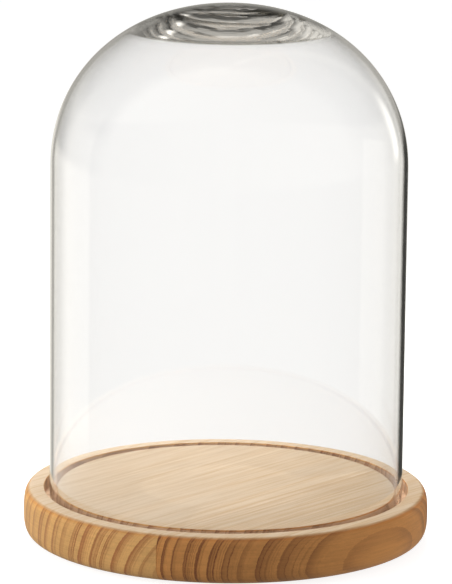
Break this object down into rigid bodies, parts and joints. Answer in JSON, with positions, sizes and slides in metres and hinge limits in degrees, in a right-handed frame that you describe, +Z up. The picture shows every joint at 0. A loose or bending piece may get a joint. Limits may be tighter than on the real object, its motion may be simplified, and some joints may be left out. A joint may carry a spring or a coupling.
{
  "type": "bell jar dome",
  "caption": "Clear blown-glass bell jar with a flattened, thick crown, standing in the ring groove of a round turned wooden base that shows off what is set under the dome.",
  "frame": {"origin": "centre of the base on the surface that the felt pads stand on", "axes": "+Z up along the dome's axis, -Y towards the viewer; the boards' grain runs 50 degrees from +X towards +Y"},
  "size_m": [0.23, 0.23, 0.305],
  "materials": {
    "wood_wide_board": "light turned softwood, pale on the face and honey-brown on the end grain, thin satin oil finish",
    "wood_narrow_board": "the same softwood from another board, slightly browner, thin satin oil finish",
    "felt": "dense brown felt, self-adhesive",
    "glass": "clear blown glass, smooth, faint grey-green in the thick edges"
  },
  "bodies": {
    "base": {"base_board_wide": "wood_wide_board", "base_board_narrow": "wood_narrow_board", "felt_pad_1": "felt", "felt_pad_2": "felt", "felt_pad_3": "felt", "felt_pad_4": "felt"},
    "dome": {"glass_dome": "glass"}
  },
  "joints": [
    {"name": "dome_lift", "type": "slide", "parent": "base", "child": "dome", "axis": [0, 0, 1], "range_m": [0, 0.3]}
  ]
}
